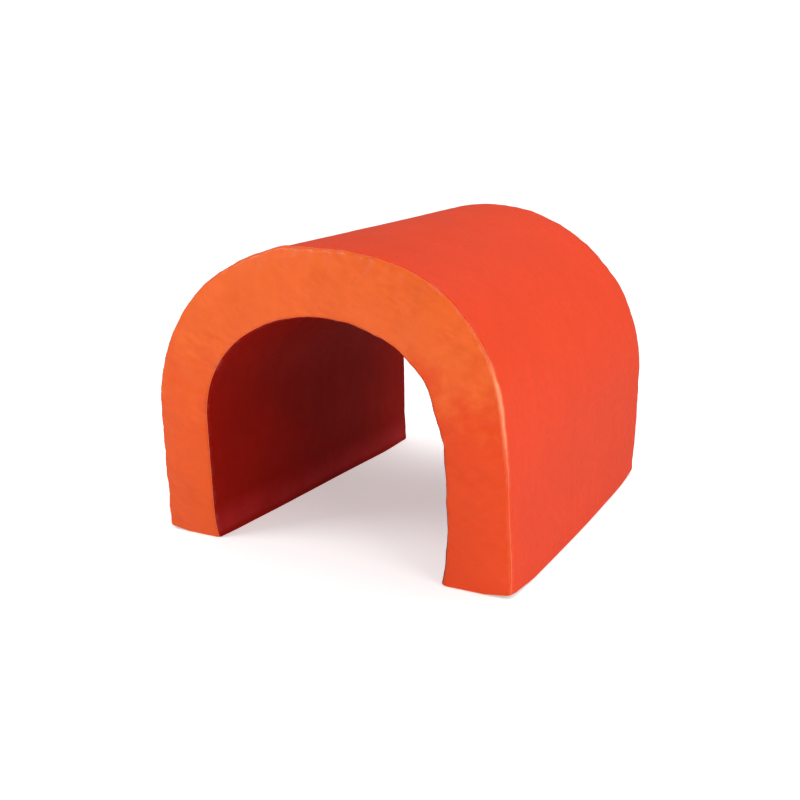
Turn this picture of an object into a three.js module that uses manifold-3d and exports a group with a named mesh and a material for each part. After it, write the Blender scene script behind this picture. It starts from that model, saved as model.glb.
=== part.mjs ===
// Soft arch tunnel: a glued foam arch in a sewn vinyl cover that closes with a recessed zip under each foot.
// Millimetres, +Z up. The tunnel runs along Y, stands on Z = 0 and has its origin on the floor at the middle.
// The front is the -Y end, and the left leg is at -X.
import * as THREE from "three";
import { mergeVertices } from "three/addons/utils/BufferGeometryUtils.js";
import Module from "manifold-3d";

// ---- Driving dimensions of the arch ----
const WIDTH = 880;
const LENGTH = 970;
const HEIGHT = 715;
const OPENING = { width: 600, height: 565 };
const SPRING = 300; // height at which the straight legs turn into the crown
const OUTER_SHOULDER_R = 410; // radius of the two side arcs of the outer face
const INNER_SHOULDER_R = 240; // and of the inner face
const ARC_STEPS = 16; // straight steps in each arc

// ---- The cover ----
const SKIN = 1.6; // thickness of a vinyl panel
const GAP = 0.4; // clearance between neighbouring layers
const SEAM = 4; // how far an edge seam reaches over each of the two panels that it joins
const FOOT_SEAM = { width: 3.6, low: 0.3, high: 2 };
const BASE_SHEET = 2; // thickness of the non-slip sheet that stands on the floor
const COVER_FOOT = BASE_SHEET + GAP; // height at which the side panels and the foam begin
const GLUE = 0.3; // glue line between two foam blocks

// ---- The zip under each foot, in its own frame: X across it, Y along it, Z above the floor ----
const WALL = (WIDTH - OPENING.width) / 2; // thickness of a leg
const FOOT_X = (WIDTH - WALL) / 2; // the middle of each foot
const CHANNEL = { half: 11, top: 8 }; // space between the turned-up edges of the base sheets
const GROOVE = { half: 14, top: 13.5 }; // cut into the foam above the channel
const TAPE = { near: 0.9, far: 12.5, low: 8.3, high: 9.1, length: 920 };
const COIL = { near: 0.8, far: 3.2, low: 5.6, high: 8, chamfer: 0.7, length: 900 };
const STOP = { half: 3.6, low: 5.2, high: 8, length: 5 };
const SLIDER = {
  nose: 5.8, // half width at the end that faces the open side
  tail: 4.6,
  length: 17,
  outer: [3.7, 5], // lower plate, on the outside of the zip
  inner: [9.4, 10.7], // upper plate, on the inside
  lip: 1, // width of the rims that hold the coils in
  lipHigh: 7.8,
  post: { half: 0.5, length: 4.5 },
};
const SLIDER_REST_Y = 434; // closed: at the rear end of the coils
const BAIL = { half: 1, low: 0.6, thick: 0.9, reach: 3.4, spread: 1.2 };
const PULL = {
  thick: 1.2,
  axis: 2.6, // height of the hinge axis
  half: 3.8,
  length: 26,
  bar: 1.2, // the end bar that turns inside the bail
  eye: { half: 1.7, length: 5.4 },
  grip: { r: 1.6, from: 20 },
};

// ---- Worked out: each face is a three-centred arch, two shoulder arcs that run into one crown arc ----
// inward is the sign that takes a radius from this face towards the middle of the wall.
function threeCentred(halfWidth, rise, shoulderR, inward) {
  const shoulderX = halfWidth - shoulderR;
  const crownDrop = (shoulderX ** 2 - (rise - shoulderR) ** 2) / (2 * (rise - shoulderR));
  const turn = Math.atan2(crownDrop, shoulderX);
  return { halfWidth, shoulderR, shoulderX, crownDrop, crownR: rise + crownDrop, turn, inward };
}
const OUTER = threeCentred(WIDTH / 2, HEIGHT - SPRING, OUTER_SHOULDER_R, -1);
const INNER = threeCentred(OPENING.width / 2, OPENING.height - SPRING, INNER_SHOULDER_R, 1);

const paint = (color, roughness, metalness = 0) =>
  new THREE.MeshStandardMaterial({ color, roughness, metalness });
const materials = {
  foam: paint(0xe9dfb8, 0.95),
  endVinyl: paint(0xf26a32, 0.45),
  wrapVinyl: paint(0xef5133, 0.45),
  liningVinyl: paint(0x7a1410, 0.5),
  seam: paint(0xd8482a, 0.6),
  baseSheet: paint(0x2a2a2c, 0.9),
  zipTape: paint(0x3a1210, 0.85),
  zipCoil: paint(0x4a1714, 0.5),
  zipMetal: paint(0xb8bac0, 0.3, 1),
};

// ---- Booleans ----
const wasm = await Module();
wasm.setup();

function toSolid(geometry) {
  const bare = geometry.clone();
  bare.deleteAttribute("normal");
  bare.deleteAttribute("uv");
  const merged = mergeVertices(bare, 1e-4);
  return new wasm.Manifold(
    new wasm.Mesh({
      numProp: 3,
      vertProperties: merged.attributes.position.array,
      triVerts: new Uint32Array(merged.index.array),
    }),
  );
}

function toGeometry(solid) {
  const { vertProperties, triVerts } = solid.getMesh();
  const geometry = new THREE.BufferGeometry();
  geometry.setAttribute("position", new THREE.BufferAttribute(vertProperties, 3));
  geometry.setIndex(new THREE.BufferAttribute(triVerts, 1));
  geometry.computeVertexNormals();
  return geometry;
}

const join = (...geometries) => toGeometry(geometries.map(toSolid).reduce((a, b) => a.add(b)));

// ---- Drawing helpers ----
const polygon = (pairs) => new THREE.Shape(pairs.map(([x, y]) => new THREE.Vector2(x, y)));

// Extrudes a shape whose two axes are world X and Z from y = from to y = to.
function alongY(shape, from, to) {
  const geometry = new THREE.ExtrudeGeometry(shape, { depth: to - from, bevelEnabled: false });
  return geometry.rotateX(Math.PI / 2).translate(0, to, 0);
}

// Extrudes a plan, whose two axes are world X and Y, from z = low to z = high.
function upwards(shape, low, high) {
  const geometry = new THREE.ExtrudeGeometry(shape, { depth: high - low, bevelEnabled: false });
  return geometry.translate(0, 0, low);
}

function block([x0, x1], [y0, y1], [z0, z1]) {
  const geometry = new THREE.BoxGeometry(x1 - x0, y1 - y0, z1 - z0);
  return geometry.translate((x0 + x1) / 2, (y0 + y1) / 2, (z0 + z1) / 2);
}

function mesh(name, geometry, material) {
  const made = new THREE.Mesh(geometry, material);
  made.name = name;
  return made;
}

const arc = (x, z, r, from, to) =>
  new THREE.EllipseCurve(x, z, r, r, from, to).getPoints(ARC_STEPS);

// The right half of a line at some depth under a face, from the spring line to x = middle.
function halfCrown(face, depth, middle = 0) {
  const grow = face.inward * depth;
  const crownR = face.crownR + grow;
  return [
    ...arc(face.shoulderX, SPRING, face.shoulderR + grow, 0, face.turn),
    ...arc(0, SPRING - face.crownDrop, crownR, face.turn, Math.acos(middle / crownR)).slice(1),
  ];
}

const mirrored = (points) => points.map((p) => new THREE.Vector2(-p.x, p.y)).reverse();

// The whole of that line, from the right foot over the top to the left foot.
function archLine(face, depth) {
  const foot = new THREE.Vector2(face.halfWidth + face.inward * depth, COVER_FOOT);
  const right = [foot, ...halfCrown(face, depth)];
  return [...right, ...mirrored(right).slice(1)];
}

// The band between two such lines; the first is the longer one.
const band = (long, short) => new THREE.Shape([...archLine(...long), ...archLine(...short).reverse()]);
const underOuter = (depth) => band([OUTER, 0], [OUTER, depth]);
const underInner = (depth) => band([INNER, depth], [INNER, 0]);

// ---- Foam core: two legs and two halves of the crown, glued together ----
const foamIn = SKIN + GAP;
const foamEnd = LENGTH / 2 - foamIn;

function foamLeg(side) {
  const near = WIDTH / 2 - WALL + foamIn;
  const far = WIDTH / 2 - foamIn;
  const section = polygon([
    [near, COVER_FOOT],
    [FOOT_X - GROOVE.half, COVER_FOOT],
    [FOOT_X - GROOVE.half, GROOVE.top],
    [FOOT_X + GROOVE.half, GROOVE.top],
    [FOOT_X + GROOVE.half, COVER_FOOT],
    [far, COVER_FOOT],
    [far, SPRING - GLUE],
    [near, SPRING - GLUE],
  ]);
  const made = mesh(`${side}_foam_leg`, alongY(section, -foamEnd, foamEnd), materials.foam);
  if (side === "left") made.rotation.z = Math.PI;
  return made;
}

function foamCrown(side) {
  const outer = halfCrown(OUTER, foamIn, GLUE / 2);
  const inner = halfCrown(INNER, foamIn, GLUE / 2);
  const section = new THREE.Shape([...outer, ...inner.reverse()]);
  const made = mesh(`${side}_foam_crown`, alongY(section, -foamEnd, foamEnd), materials.foam);
  if (side === "left") made.rotation.z = Math.PI;
  return made;
}

// ---- Cover panels and the seams that join them ----
const panelEdge = SEAM + GAP;
const wrapEnd = LENGTH / 2 - panelEdge;

function coverPanels() {
  const end = band([OUTER, panelEdge], [INNER, panelEdge]);
  return [
    mesh("front_end_panel", alongY(end, -LENGTH / 2, SKIN - LENGTH / 2), materials.endVinyl),
    mesh("rear_end_panel", alongY(end, LENGTH / 2 - SKIN, LENGTH / 2), materials.endVinyl),
    mesh("outer_wrap", alongY(underOuter(SKIN), -wrapEnd, wrapEnd), materials.wrapVinyl),
    mesh("inner_lining", alongY(underInner(SKIN), -wrapEnd, wrapEnd), materials.liningVinyl),
  ];
}

// An edge seam is an L-shaped lip: one leg lies in the wrap's surface and the other in the end panel's.
function edgeSeam(end, edge) {
  const sign = end === "front" ? -1 : 1;
  const under = edge === "outer" ? underOuter : underInner;
  const outside = (sign * LENGTH) / 2;
  const span = (depth) => [outside, outside - sign * depth].sort((a, b) => a - b);
  const lip = join(alongY(under(SKIN), ...span(SEAM)), alongY(under(SEAM), ...span(SKIN)));
  return mesh(`${end}_${edge}_seam`, lip, materials.seam);
}

function footSeam(side, x) {
  const ring = (inset) => {
    const halfX = WALL / 2 - inset;
    const halfY = LENGTH / 2 - inset;
    return polygon([
      [-halfX, -halfY],
      [halfX, -halfY],
      [halfX, halfY],
      [-halfX, halfY],
    ]);
  };
  const shape = ring(0);
  shape.holes.push(ring(FOOT_SEAM.width));
  const made = mesh(`${side}_foot_seam`, upwards(shape, FOOT_SEAM.low, FOOT_SEAM.high), materials.seam);
  made.position.x = x;
  return made;
}

// ---- One foot: base sheets with turned-up edges, and a coil zip between them ----
function footHalf(side, half, sign) {
  const edge = WALL / 2 - FOOT_SEAM.width - GAP;
  const fold = CHANNEL.half + SKIN;
  const sheet = polygon([
    [CHANNEL.half, 0],
    [edge, 0],
    [edge, BASE_SHEET],
    [fold, BASE_SHEET],
    [fold, CHANNEL.top],
    [CHANNEL.half, CHANNEL.top],
  ]);
  const coil = polygon([
    [COIL.near, COIL.low + COIL.chamfer],
    [COIL.near + COIL.chamfer, COIL.low],
    [COIL.far - COIL.chamfer, COIL.low],
    [COIL.far, COIL.low + COIL.chamfer],
    [COIL.far, COIL.high],
    [COIL.near, COIL.high],
  ]);
  const sheetEnd = LENGTH / 2 - FOOT_SEAM.width - GAP;
  const tapeEnds = [-TAPE.length / 2, TAPE.length / 2];
  const group = new THREE.Group();
  group.add(
    mesh(`${side}_base_sheet_${half}`, alongY(sheet, -sheetEnd, sheetEnd), materials.baseSheet),
    mesh(
      `${side}_zip_tape_${half}`,
      block([TAPE.near, TAPE.far], tapeEnds, [TAPE.low, TAPE.high]),
      materials.zipTape,
    ),
    mesh(
      `${side}_zip_coil_${half}`,
      alongY(coil, -COIL.length / 2, COIL.length / 2),
      materials.zipCoil,
    ),
  );
  if (sign < 0) group.rotation.z = Math.PI;
  return group;
}

function zipStop(side, end, sign) {
  const from = (COIL.length / 2 + GAP) * sign;
  const span = [from, from + STOP.length * sign].sort((a, b) => a - b);
  const made = block([-STOP.half, STOP.half], span, [STOP.low, STOP.high]);
  return mesh(`${side}_zip_stop_${end}`, made, materials.zipMetal);
}

function sliderGeometry() {
  const halfLength = SLIDER.length / 2;
  const plan = (grow) =>
    polygon([
      [-SLIDER.tail + grow, -halfLength],
      [SLIDER.tail - grow, -halfLength],
      [SLIDER.nose - grow, halfLength * 0.35],
      [SLIDER.nose - grow, halfLength * 0.75],
      [SLIDER.nose * 0.6, halfLength],
      [-SLIDER.nose * 0.6, halfLength],
      [-SLIDER.nose + grow, halfLength * 0.75],
      [-SLIDER.nose + grow, halfLength * 0.35],
    ]);
  const [outerLow, outerHigh] = SLIDER.outer;
  const [innerLow, innerHigh] = SLIDER.inner;
  const lips = toSolid(upwards(plan(0), outerLow, SLIDER.lipHigh));
  const channel = plan(SLIDER.lip);
  const cut = toSolid(upwards(channel, outerHigh, SLIDER.lipHigh + 1));
  const through = toSolid(
    block(
      [-SLIDER.tail + SLIDER.lip, SLIDER.tail - SLIDER.lip],
      [-halfLength - 1, halfLength + 1],
      [outerHigh, SLIDER.lipHigh + 1],
    ),
  );
  const post = block(
    [-SLIDER.post.half, SLIDER.post.half],
    [halfLength - SLIDER.post.length - 1, halfLength - 1],
    [outerHigh - 0.2, innerLow + 0.2],
  );
  const { half, low, thick, reach, spread } = BAIL;
  const sunk = outerLow + 0.2;
  const bail = polygon([
    [-reach - spread, sunk],
    [-reach, low],
    [reach, low],
    [reach + spread, sunk],
    [reach + spread - thick, sunk],
    [reach - thick, low + thick],
    [-reach + thick, low + thick],
    [-reach - spread + thick, sunk],
  ]);
  const bridge = alongY(bail, -half, half).rotateZ(Math.PI / 2);
  const body = lips.subtract(cut).subtract(through);
  return toGeometry(
    [upwards(plan(0), innerLow, innerHigh), post, bridge].map(toSolid).reduce((a, b) => a.add(b), body),
  );
}

// A flat pull tab drawn from its hinge axis, which lies along X, towards -Y.
function pullGeometry() {
  const { half, length, bar, eye, grip, thick } = PULL;
  const tip = half * 0.75;
  const outline = polygon([
    [-half, bar / 2],
    [-half, -eye.length - bar],
    [-tip, -length + 1.5],
    [-tip + 1.5, -length],
    [tip - 1.5, -length],
    [tip, -length + 1.5],
    [half, -eye.length - bar],
    [half, bar / 2],
  ]);
  outline.holes.push(
    polygon([
      [-eye.half, -bar / 2],
      [-eye.half, -bar / 2 - eye.length],
      [eye.half, -bar / 2 - eye.length],
      [eye.half, -bar / 2],
    ]),
    new THREE.Path().absarc(0, -grip.from, grip.r, 0, 2 * Math.PI),
  );
  const geometry = new THREE.ExtrudeGeometry(outline, {
    depth: thick,
    bevelEnabled: false,
    curveSegments: 8,
  });
  return geometry.translate(0, 0, -thick / 2);
}

function foot(side, x) {
  const outward = Math.sign(x);
  const group = new THREE.Group();
  group.position.x = x;
  const runner = new THREE.Group();
  runner.position.y = SLIDER_REST_Y;
  const pull = mesh(`${side}_zip_pull`, pullGeometry(), materials.zipMetal);
  pull.position.z = PULL.axis;
  runner.add(mesh(`${side}_zip_slider`, sliderGeometry(), materials.zipMetal), pull);
  group.add(
    footHalf(side, "outer", outward),
    footHalf(side, "inner", -outward),
    zipStop(side, "front", -1),
    zipStop(side, "rear", 1),
    runner,
  );
  return group;
}

// ---- The assembly ----
const tunnel = new THREE.Group();
for (const [side, x] of [
  ["left", -FOOT_X],
  ["right", FOOT_X],
]) {
  tunnel.add(foamLeg(side), foamCrown(side), footSeam(side, x), foot(side, x));
}
tunnel.add(...coverPanels());
for (const end of ["front", "rear"]) {
  for (const edge of ["outer", "inner"]) {
    tunnel.add(edgeSeam(end, edge));
  }
}

export default tunnel;
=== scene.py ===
"""The looks of a soft foam arch tunnel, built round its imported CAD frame.

Metres, +Z up. The front is the -Y end and the left leg is at -X. Each panel of the sewn cover is a grid
with a row for each station from the left foot over the crown to the right foot. The panels meet on the
rounded edges, and each edge seam and foot seam follows the panel edges that it joins.
"""

import math

import bpy
import numpy as np
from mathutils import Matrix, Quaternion, Vector, noise


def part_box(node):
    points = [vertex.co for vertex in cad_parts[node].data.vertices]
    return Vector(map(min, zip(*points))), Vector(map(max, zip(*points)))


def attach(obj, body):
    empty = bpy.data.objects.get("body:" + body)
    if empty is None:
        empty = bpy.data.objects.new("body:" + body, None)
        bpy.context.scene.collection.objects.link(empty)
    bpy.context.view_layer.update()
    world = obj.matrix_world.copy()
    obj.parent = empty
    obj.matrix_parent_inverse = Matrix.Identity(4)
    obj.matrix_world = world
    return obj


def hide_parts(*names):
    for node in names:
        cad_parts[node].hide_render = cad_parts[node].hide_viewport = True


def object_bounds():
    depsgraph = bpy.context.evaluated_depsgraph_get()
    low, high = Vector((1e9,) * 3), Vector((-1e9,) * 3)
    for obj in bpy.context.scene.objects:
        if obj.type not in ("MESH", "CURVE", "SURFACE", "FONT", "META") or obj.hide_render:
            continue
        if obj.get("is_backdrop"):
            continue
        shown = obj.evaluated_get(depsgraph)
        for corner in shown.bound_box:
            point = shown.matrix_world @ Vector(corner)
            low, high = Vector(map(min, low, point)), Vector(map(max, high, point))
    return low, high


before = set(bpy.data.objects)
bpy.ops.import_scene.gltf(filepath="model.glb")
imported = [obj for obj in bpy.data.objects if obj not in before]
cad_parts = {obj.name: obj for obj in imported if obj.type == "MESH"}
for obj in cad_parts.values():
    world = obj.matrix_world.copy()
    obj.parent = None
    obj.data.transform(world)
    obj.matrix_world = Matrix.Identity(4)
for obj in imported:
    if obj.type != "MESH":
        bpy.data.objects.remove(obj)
cad_low, cad_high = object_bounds()

# ---- The arch ----
WIDTH, LENGTH, HEIGHT = cad_high - cad_low
END = LENGTH / 2
SKIN = 0.0016  # thickness of the CAD panels
lining_low, lining_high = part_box("inner_lining")
OPENING_WIDTH = lining_high.x - lining_low.x - 2 * SKIN
OPENING_HEIGHT = lining_high.z - SKIN
WALL = (WIDTH - OPENING_WIDTH) / 2
FOOT_X = (WIDTH - WALL) / 2
SPRING = 0.3  # height at which the straight legs turn into the crown
OUTER_SHOULDER, INNER_SHOULDER = 0.41, 0.24  # radii between the legs and the top of the crown
LEG_SHARE = 0.175  # share of the stations that lies in each straight leg

# ---- The sewn cover ----
EDGE_R = 0.011  # rounding of the long edges
FOOT_R = 0.006  # rounding under the feet
OUTER_SEAM, INNER_SEAM = math.radians(20), math.radians(45)  # how far round the edges the side panels go
FOOT_SEAM = math.radians(45)  # how far round the foot each panel goes
CLOTH = 0.001  # thickness of the vinyl
STATION_STEP = 0.006  # grid step along the arch
FOOT_ROWS = 5  # rows from a foot seam to the straight leg
ARC_STEP = math.radians(9)  # about the turn from column to column round an edge
FLANGE = (0.0018, 0.004)  # depths of the edge that turns in under a seam
SEAM_GAP = 0.0005  # from the middle of a seam to each panel

# ---- How the soft body stands: foam is never quite square ----
CROWN_DROP, CROWN_RISE = 0.019, 0.021  # the crown hangs at the front end and stands up at the rear end
CROWN_HALF = 0.8 * WIDTH / 2
LEAN_FRONT, LEAN_REAR = 0.006, -0.008  # sideways at the crown
FEET_BACK = 0.016  # the front feet are tucked back
TOE_IN = 0.008  # the rear ends of the legs point in
CORNER_LIFT = 0.008  # the outer corners of the feet curl up from the floor
SIDE_BOW = 0.01  # the outer edges of the feet bulge in between
SPILL, SPILL_REAR = 0.013, 0.3  # the lining spreads on the floor, and by this share at the rear
SHOULDER_BAG = 0.016  # loose cover hangs in at the front right shoulder of the opening
BAG_IN, BAG_DOWN = 0.8, 0.6  # its shares inwards and down
BAG_X, BAG_Z, BAG_SIZE, BAG_REACH = 0.265, 0.365, 0.075, 0.25
BULGE, BULGE_SLOPE, BULGE_SPAN = 0.011, 0.95, 0.4  # the outer front edge on the right: out on the crown,
PINCH, PINCH_Z, PINCH_SIZE = 0.01, 0.36, 0.09  # in at the shoulder,
FLARE, FLARE_TOP = 0.008, 0.2  # and out again at the foot
HANG, HANG_X, HANG_HALF = 0.008, -0.05, 0.28  # the top of the opening hangs in at the front
CREST, CREST_X, CREST_HALF, CREST_REACH = 0.008, -0.095, 0.045, 0.03  # the front rim stands up beside the top
CHANNEL_HALF = 0.0145  # near the floor, nothing moves sideways this close to a zip


def smooth(a, b, x):
    t = np.clip((x - a) / (b - a), 0, 1)
    return t * t * (3 - 2 * t)


def bell(x, middle, half):
    """1 at the middle, falling smoothly to nothing at about twice half away from it."""
    return np.exp(-(((x - middle) / half) ** 2))


def unit(v):
    return v / np.maximum(np.linalg.norm(v, axis=-1, keepdims=True), 1e-9)


class Face:
    """The outer or the inner face of the wall: two straight legs under a three-centred crown.

    out is the way that the face looks: 1 away from the tunnel's middle, -1 towards it. seam is the angle from
    the face to its seams on the rounded edges at the ends.
    """

    def __init__(self, half_width, rise, shoulder, out, seam):
        self.half_width, self.shoulder, self.out, self.seam = half_width, shoulder, out, seam
        self.shoulder_x = half_width - shoulder
        self.drop = (self.shoulder_x**2 - (rise - shoulder) ** 2) / (2 * (rise - shoulder))
        self.crown_r = rise + self.drop
        self.turn = math.atan2(self.drop, self.shoulder_x)
        self.arc = shoulder * self.turn + self.crown_r * (math.pi / 2 - self.turn)
        self.length = 2 * (SPRING + self.arc)

    def at(self, t):
        """Points and normals (x, z) at stations t, from 0 at the left foot to 1 at the right foot."""
        side = np.where(t < 0.5, -1.0, 1.0)
        k = np.minimum(t, 1 - t)
        leg = k < LEG_SHARE
        a = np.clip((k - LEG_SHARE) / (0.5 - LEG_SHARE), 0, 1) * self.arc
        on_shoulder = a < self.shoulder * self.turn
        past = (a - self.shoulder * self.turn) / self.crown_r
        angle = np.where(on_shoulder, a / self.shoulder, self.turn + past)
        r = np.where(on_shoulder, self.shoulder, self.crown_r)
        x = np.where(on_shoulder, self.shoulder_x, 0) + r * np.cos(angle)
        z = SPRING - np.where(on_shoulder, 0, self.drop) + r * np.sin(angle)
        x = np.where(leg, self.half_width, x)
        z = np.where(leg, k / LEG_SHARE * SPRING, z)
        nx, nz = np.where(leg, 1, np.cos(angle)), np.where(leg, 0, np.sin(angle))
        return np.stack([side * x, z], -1), self.out * np.stack([side * nx, nz], -1)


OUTER = Face(WIDTH / 2, HEIGHT - SPRING, OUTER_SHOULDER, out=1, seam=OUTER_SEAM)
INNER = Face(OPENING_WIDTH / 2, OPENING_HEIGHT - SPRING, INNER_SHOULDER, out=-1, seam=INNER_SEAM)


def settle(points):
    """Moves points of the ideal arch to where the soft body stands."""
    p = np.array(points, float)
    x, y, z = p.reshape(-1, 3).T.copy()
    side, across = np.sign(x), np.abs(x)
    front, along = np.clip(0.5 - y / LENGTH, 0, 1), np.clip(np.abs(y) / END, 0, 1)
    high, low = np.clip(z / HEIGHT, 0, 1.1), np.clip(1 - z / SPRING, 0, 1)
    above = np.maximum(z - SPRING, 0)
    reach, slope = np.hypot(x, above), np.arctan2(above, across)
    half_foot = WALL / 2 - CHANNEL_HALF
    inner = np.clip((FOOT_X - CHANNEL_HALF - reach) / half_foot, 0, 1)
    outer = np.clip((reach - FOOT_X - CHANNEL_HALF) / half_foot, 0, 1)

    # The whole body leans, its front feet are tucked back, and its crown climbs to the rear.
    crown = bell(x, 0, CROWN_HALF) * high**2
    dx = high * (LEAN_FRONT * front + LEAN_REAR * (1 - front))
    dy = FEET_BACK * low * front
    dz = crown * (CROWN_RISE * (1 - front) - CROWN_DROP * front)

    # The legs: what is sewn round the zips stays where it is.
    free = np.where(z < 0.02, smooth(0, 0.6, inner + outer), 1)
    toe = TOE_IN * np.where(x > 0, low**1.5, smooth(0.5, 0.1, z)) * (1 - front) * free
    spill = SPILL * (1 - (1 - SPILL_REAR) * smooth(0.6, 1, y / END)) * inner * low**10
    dx += side * (SIDE_BOW * outer * low**3 * (1 - along**2) - toe - spill)
    dz += CORNER_LIFT * outer * low**4 * smooth(0.7, 1, along)

    # The front end: how its inner and outer edges stray from the arch.
    bag = SHOULDER_BAG * bell(x, BAG_X, BAG_SIZE) * bell(z, BAG_Z, BAG_SIZE) * bell(y, -END, BAG_REACH)
    dx -= BAG_IN * bag
    dz -= BAG_DOWN * bag + HANG * inner * high**2 * front * bell(x, HANG_X, HANG_HALF)
    crest = bell(x, CREST_X, CREST_HALF) * bell(y, -END, CREST_REACH)
    dz += CREST * crest * smooth(0.1, 0.5, outer) * (z > SPRING)
    sway = BULGE * bell(slope, BULGE_SLOPE, BULGE_SPAN) - PINCH * bell(z, PINCH_Z, PINCH_SIZE)
    sway = (sway + FLARE * smooth(FLARE_TOP, 0, z)) * outer * front**2 * smooth(0, 0.1, x)
    dx += sway * np.cos(slope)
    dz += sway * np.sin(slope)
    p.reshape(-1, 3)[:] += np.stack([dx, dy, dz], -1)
    return p


# ---- Noise: the same value for the same point every time ----
def grain(p, scale, seed):
    """Perlin noise, about -1 to 1. scale is the size of a feature in metres, or one size for each axis."""
    q = p.reshape(-1, 3) / np.asarray(scale, float) + seed
    return np.fromiter((noise.noise(v) for v in q.tolist()), float, len(q)).reshape(p.shape[:-1]) * 1.6


# ---- Mesh helpers ----
def new_object(name, points, quads):
    mesh = bpy.data.meshes.new(name)
    mesh.from_pydata(np.reshape(points, (-1, 3)).tolist(), [], [list(map(int, q)) for q in quads])
    mesh.polygons.foreach_set("use_smooth", [True] * len(mesh.polygons))
    obj = bpy.data.objects.new(name, mesh)
    bpy.context.scene.collection.objects.link(obj)
    return obj


def grid_quads(rows, columns, flip=False, closed=False):
    """Quads of a grid. With closed, its last column joins its first one."""
    wide = columns if closed else columns - 1
    i, j = np.meshgrid(np.arange(rows - 1), np.arange(wide), indexing="ij")
    a, b = (i * columns + j).ravel(), (i * columns + (j + 1) % columns).ravel()
    quads = np.stack([a, b, b + columns, a + columns], -1)
    return quads[:, ::-1] if flip else quads


def tube(rings, closed=False):
    """The skin over a row of rings of points: capped at both ends, or closed on itself."""
    n, k = rings.shape[:2]
    quads = [list(q) for q in grid_quads(n, k, closed=True)]
    if closed:
        quads += [[(n - 1) * k + j, (n - 1) * k + (j + 1) % k, (j + 1) % k, j] for j in range(k)]
    else:
        quads += [list(range(k))[::-1], [(n - 1) * k + j for j in range(k)]]
    return rings.reshape(-1, 3), quads


def merged(parts):
    """Joins several (points, quads) into one."""
    points, quads, count = [], [], 0
    for p, q in parts:
        points.append(p)
        quads += [[int(i) + count for i in face] for face in q]
        count += len(p)
    return np.concatenate(points), quads


def store(obj, name, values):
    attribute = obj.data.attributes.new(name, "FLOAT", "POINT")
    attribute.data.foreach_set("value", np.asarray(values, np.float32).ravel())


def thicken(obj, thickness):
    solid = obj.modifiers.new("thickness", "SOLIDIFY")
    solid.thickness, solid.offset = thickness, -1
    return obj


def block_surface(us, vs, ws):
    """The skin of a block: the points on the given lines along each axis, and its quads."""
    lines, index, points, quads = (us, vs, ws), {}, [], []
    for axis in range(3):
        a, b = (axis + 1) % 3, (axis + 2) % 3
        for end in (0, len(lines[axis]) - 1):
            for i in range(len(lines[a]) - 1):
                for j in range(len(lines[b]) - 1):
                    quad = []
                    for di, dj in ((0, 0), (1, 0), (1, 1), (0, 1)):
                        key = [0, 0, 0]
                        key[axis], key[a], key[b] = end, i + di, j + dj
                        if tuple(key) not in index:
                            index[tuple(key)] = len(points)
                            points.append([lines[n][key[n]] for n in range(3)])
                        quad.append(index[tuple(key)])
                    quads.append(quad if end else quad[::-1])
    return np.array(points), quads


# ---- Relief of the cover: what makes it look sewn and stuffed ----
EDGE_DROP, EDGE_REACH = 0.0012, 0.016
GROOVE, GROOVE_REACH = 0.0005, 0.0016
FOOT_DROP, FOOT_REACH = 0.001, 0.01
PILLOW = 0.002  # how far the side panels stand out between their seams
CROWNED = 0.005  # the same for the end panels
FLOOR_BAG, FLOOR_BAG_Z, FLOOR_BAG_HALF = 0.006, 0.05, 0.035  # loose lining just over the floor
CREASE_SLANT, CREASE_BEND = 0.9, 0.018  # the creases of the end panels fall to the right, and wander
SLANT_LENGTH = 1.345  # about the length of (1, CREASE_SLANT)


def fade(d, reach):
    """1 at a seam, falling away from it."""
    return np.exp(-d / reach)


def swell(p, height, size, seed):
    """Soft swellings of this height, with features of this size."""
    return height * grain(p, size, seed)


def seam_relief(p, d):
    """What two panels share at a seam: it lies a little low, and it wanders as stitching does."""
    wander = swell(p, height=0.0016, size=0.07, seed=3.1) + swell(p, height=0.0008, size=0.024, seed=8.4)
    low = -EDGE_DROP * fade(d, EDGE_REACH) - GROOVE * bell(d, 0, GROOVE_REACH)
    low -= FOOT_DROP * fade(np.maximum(p[..., 2] - FOOT_R * 0.3, 0), FOOT_REACH)
    return low + wander * fade(d, 0.05)


def puckers(p, along, d, seed, fine=1.0, wide=1.0):
    """Small gathers that run away from a seam: along is the way along it, d the distance from it."""
    zero = np.zeros_like(d)
    small = swell(np.stack([along, 0.12 * d, zero], -1), height=0.0006 * fine, size=0.0085, seed=seed)
    slanted = np.stack([along + 0.25 * d, 0.1 * d, zero], -1)
    large = swell(slanted, height=0.0011 * wide, size=0.021, seed=seed + 9)
    slack = np.clip(0.55 + swell(p, height=0.9, size=0.12, seed=seed + 5), 0, 1.4)
    return (1 - fade(d, 0.003)) * slack * (small * fade(d, 0.009) + large * fade(d, 0.028))


def wrap_relief(p, first, last, along):
    d = np.minimum(first, last)
    gathers = puckers(p, along, first, seed=21, fine=0.7, wide=0.6)
    gathers += puckers(p, along, last, seed=22, fine=0.7, wide=0.6)
    broad = swell(p, height=0.0009, size=(0.26, 0.34, 0.26), seed=24)
    broad += swell(p, height=0.00025, size=(0.07, 0.12, 0.07), seed=25)
    return gathers + broad * (1 - fade(d, 0.05)) + PILLOW * (1 - fade(d, 0.03))


def lining_relief(p, first, last, along):
    d = np.minimum(first, last)
    gathers = puckers(p, along, first, seed=31, fine=0.7, wide=0.8)
    gathers += puckers(p, along, last, seed=32, fine=0.7, wide=0.8)
    broad = swell(p, height=0.0014, size=(0.2, 0.3, 0.14), seed=34)
    broad += swell(p, height=0.0004, size=(0.05, 0.16, 0.04), seed=35)
    bag = FLOOR_BAG * bell(p[..., 2], FLOOR_BAG_Z, FLOOR_BAG_HALF) * (1 - fade(d, 0.05))
    return gathers + broad * (1 - fade(d, 0.04)) + bag


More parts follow.
